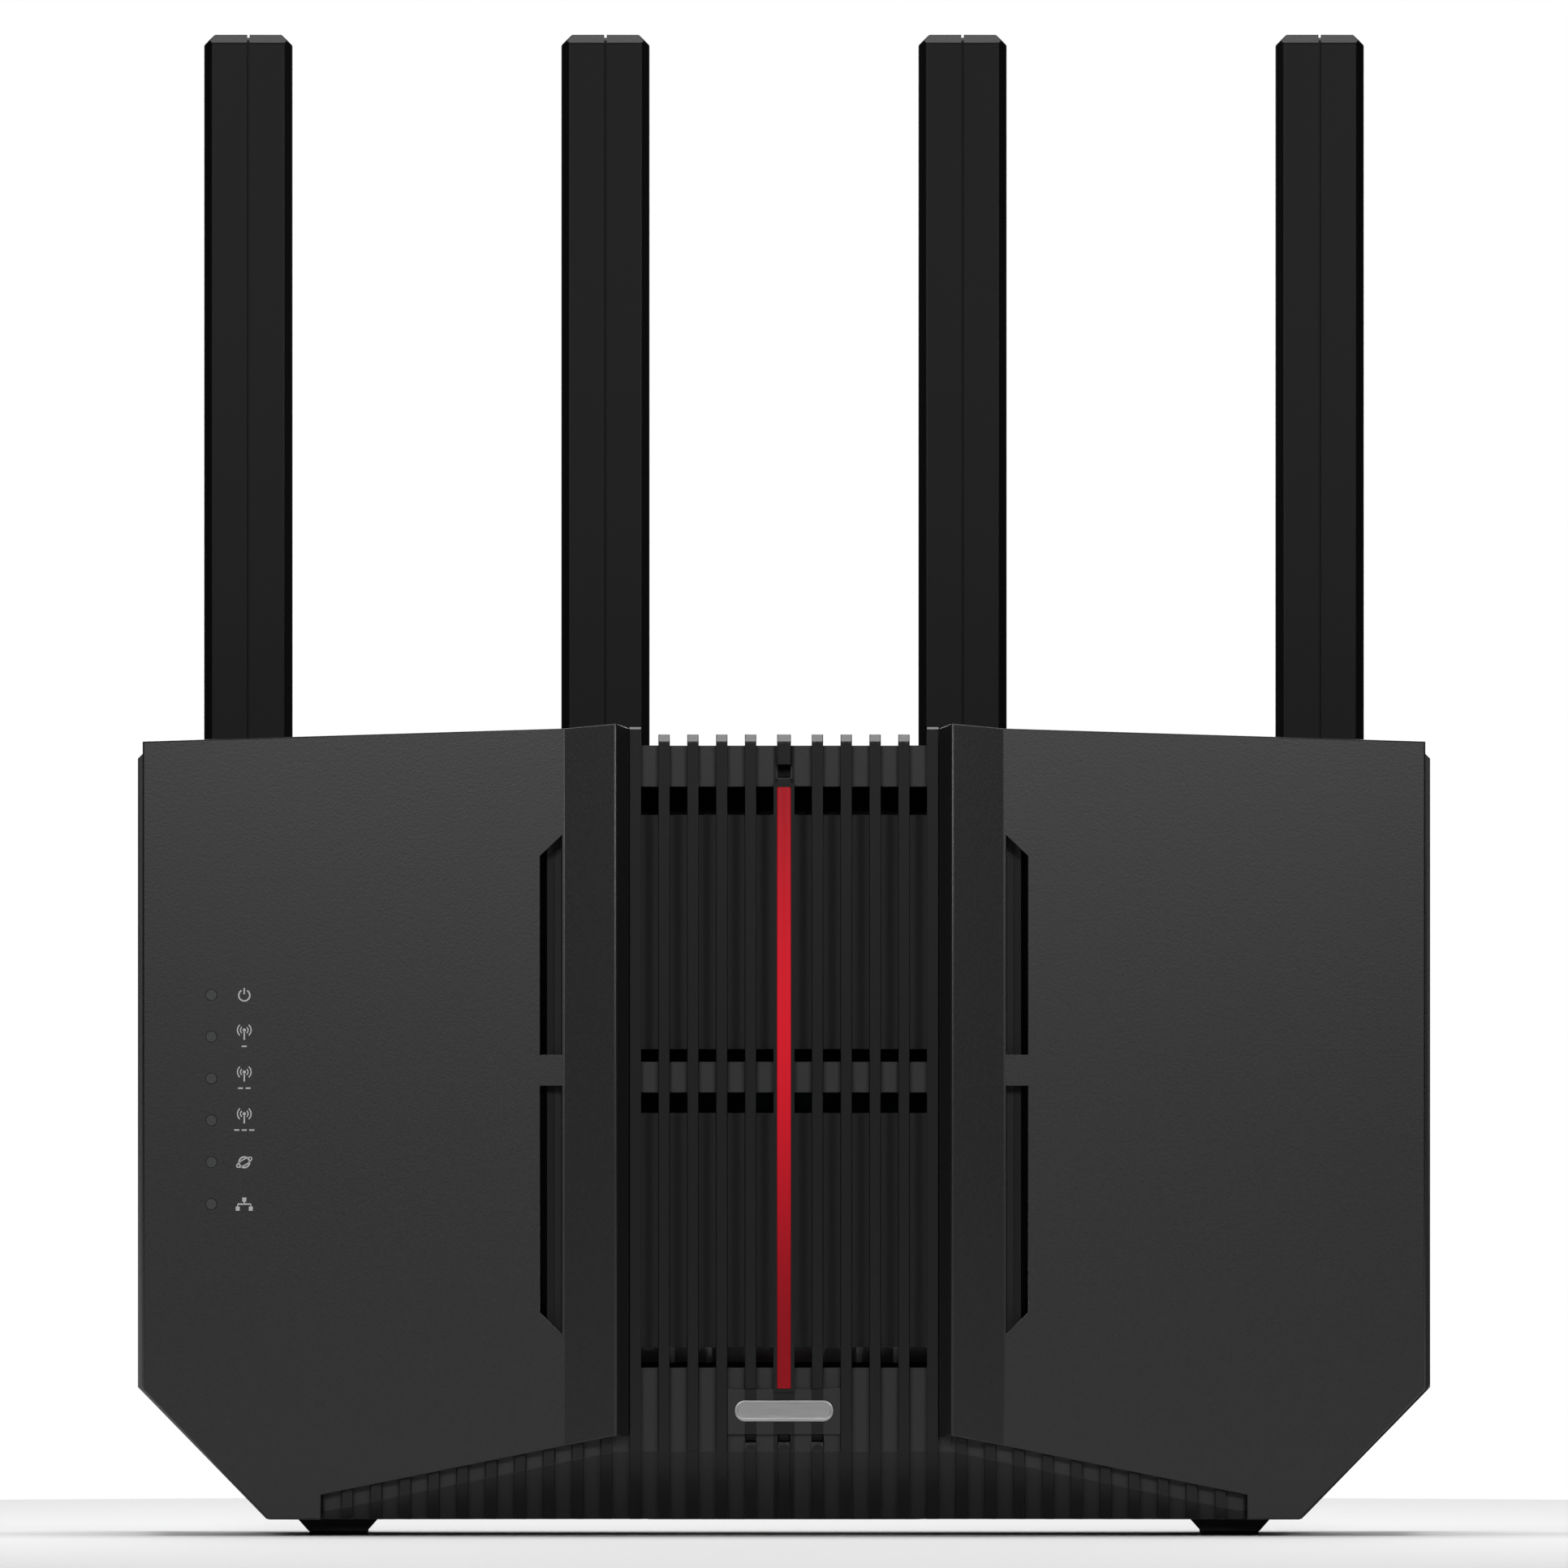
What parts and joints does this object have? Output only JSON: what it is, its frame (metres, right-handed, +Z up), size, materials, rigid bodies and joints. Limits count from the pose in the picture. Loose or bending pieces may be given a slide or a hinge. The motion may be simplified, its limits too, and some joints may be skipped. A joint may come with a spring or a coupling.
{
  "type": "wireless router",
  "caption": "Upright wireless router with swept front panels, ribbed centre grille, red light strip and hinged paddle antennas at the back.",
  "frame": {"origin": "centre of the bounding box's base, under the feet", "axes": "+Z up, +X to the right seen from the front, front faces -Y"},
  "size_m": [0.2552, 0.06, 0.2968],
  "materials": {
    "cover_plastic": "fine spark-eroded grain, near black",
    "grille_plastic": "satin ribs over grained dark beams",
    "panel_plastic": "fine spark-eroded grain, charcoal",
    "red_lens": "translucent red light guide",
    "circuit_board": "green solder mask",
    "badge_metal": "satin plate, blank",
    "clear_plastic": "frosted light pipes",
    "chip_black": "moulded package",
    "thermal_pad": "soft pad",
    "heat_sink": "extruded fins",
    "tinned_steel": "tinned sheet",
    "brass_contact": "turned",
    "coax_jacket": "thin jacket",
    "socket_blue": "wide network socket",
    "socket_grey": "network sockets",
    "socket_black": "moulded",
    "button_plastic": "satin",
    "foot_plastic": "satin black",
    "foot_rubber": "soft pad",
    "screw_steel": "plain",
    "spring_steel": "plain",
    "label_film": "blank silver film",
    "antenna_plastic": "fine grain, near black"
  },
  "bodies": {
    "housing": {"rear_cover": "cover_plastic", "front_housing": "grille_plastic", "wing_panel_left": "panel_plastic", "wing_panel_right": "panel_plastic", "accent_strip": "red_lens", "accent_led_board": "circuit_board", "badge_plate": "badge_metal", "status_light_pipes": "clear_plastic", "status_led_board": "circuit_board", "main_board": "circuit_board", "processor_chips": "chip_black", "thermal_pads": "thermal_pad", "heat_sink": "heat_sink", "shield_cans": "tinned_steel", "board_components": "chip_black", "coax_sockets": "brass_contact", "coax_leads": "coax_jacket", "wan_jack": "socket_blue", "lan_jacks": "socket_grey", "usb_socket": "tinned_steel", "dc_socket": "socket_black", "power_switch": "socket_black", "pairing_switch": "socket_black", "reset_switch": "socket_black", "foot_runner_left": "foot_plastic", "foot_runner_right": "foot_plastic", "foot_pads": "foot_rubber", "housing_screws": "screw_steel", "board_screws": "screw_steel", "rating_label": "label_film"},
    "power_button": {"power_button": "button_plastic"},
    "pairing_button": {"pairing_button": "button_plastic"},
    "reset_plunger": {"reset_plunger": "button_plastic"},
    "antenna_1_swivel_body": {"antenna_1_turret": "antenna_plastic", "antenna_1_clip": "spring_steel"},
    "antenna_1_paddle_body": {"antenna_1_hinge_pin": "screw_steel", "antenna_1_front_shell": "antenna_plastic", "antenna_1_rear_shell": "antenna_plastic", "antenna_1_element": "circuit_board"},
    "antenna_2_swivel_body": {"antenna_2_turret": "antenna_plastic", "antenna_2_clip": "spring_steel"},
    "antenna_2_paddle_body": {"antenna_2_hinge_pin": "screw_steel", "antenna_2_front_shell": "antenna_plastic", "antenna_2_rear_shell": "antenna_plastic", "antenna_2_element": "circuit_board"},
    "antenna_3_swivel_body": {"antenna_3_turret": "antenna_plastic", "antenna_3_clip": "spring_steel"},
    "antenna_3_paddle_body": {"antenna_3_hinge_pin": "screw_steel", "antenna_3_front_shell": "antenna_plastic", "antenna_3_rear_shell": "antenna_plastic", "antenna_3_element": "circuit_board"},
    "antenna_4_swivel_body": {"antenna_4_turret": "antenna_plastic", "antenna_4_clip": "spring_steel"},
    "antenna_4_paddle_body": {"antenna_4_hinge_pin": "screw_steel", "antenna_4_front_shell": "antenna_plastic", "antenna_4_rear_shell": "antenna_plastic", "antenna_4_element": "circuit_board"}
  },
  "joints": [
    {"name": "power_press", "type": "slide", "parent": "housing", "child": "power_button", "axis": [0, -1, 0], "range_m": [0, 0.002], "stiffness_N_per_m": 400, "springref_m": -0.0005},
    {"name": "pairing_press", "type": "slide", "parent": "housing", "child": "pairing_button", "axis": [0, -1, 0], "range_m": [0, 0.001], "stiffness_N_per_m": 400, "springref_m": -0.0005},
    {"name": "reset_press", "type": "slide", "parent": "housing", "child": "reset_plunger", "axis": [0, -1, 0], "range_m": [0, 0.0004], "stiffness_N_per_m": 400, "springref_m": -0.0003},
    {"name": "antenna_1_swivel", "type": "hinge", "parent": "housing", "child": "antenna_1_swivel_body", "pos_m": [-0.10611, 0.013, 0.116], "axis": [0, 0, 1], "range_deg": [-60, 60]},
    {"name": "antenna_1_tilt", "type": "hinge", "parent": "antenna_1_swivel_body", "child": "antenna_1_paddle_body", "pos_m": [-0.10611, 0.013, 0.128], "axis": [-1, 0, 0], "range_deg": [0, 90]},
    {"name": "antenna_2_swivel", "type": "hinge", "parent": "housing", "child": "antenna_2_swivel_body", "pos_m": [-0.03537, 0.013, 0.116], "axis": [0, 0, 1], "range_deg": [-60, 60]},
    {"name": "antenna_2_tilt", "type": "hinge", "parent": "antenna_2_swivel_body", "child": "antenna_2_paddle_body", "pos_m": [-0.03537, 0.013, 0.128], "axis": [-1, 0, 0], "range_deg": [0, 90]},
    {"name": "antenna_3_swivel", "type": "hinge", "parent": "housing", "child": "antenna_3_swivel_body", "pos_m": [0.03537, 0.013, 0.116], "axis": [0, 0, 1], "range_deg": [-60, 60]},
    {"name": "antenna_3_tilt", "type": "hinge", "parent": "antenna_3_swivel_body", "child": "antenna_3_paddle_body", "pos_m": [0.03537, 0.013, 0.128], "axis": [-1, 0, 0], "range_deg": [0, 90]},
    {"name": "antenna_4_swivel", "type": "hinge", "parent": "housing", "child": "antenna_4_swivel_body", "pos_m": [0.10611, 0.013, 0.116], "axis": [0, 0, 1], "range_deg": [-60, 60]},
    {"name": "antenna_4_tilt", "type": "hinge", "parent": "antenna_4_swivel_body", "child": "antenna_4_paddle_body", "pos_m": [0.10611, 0.013, 0.128], "axis": [-1, 0, 0], "range_deg": [0, 90]}
  ]
}
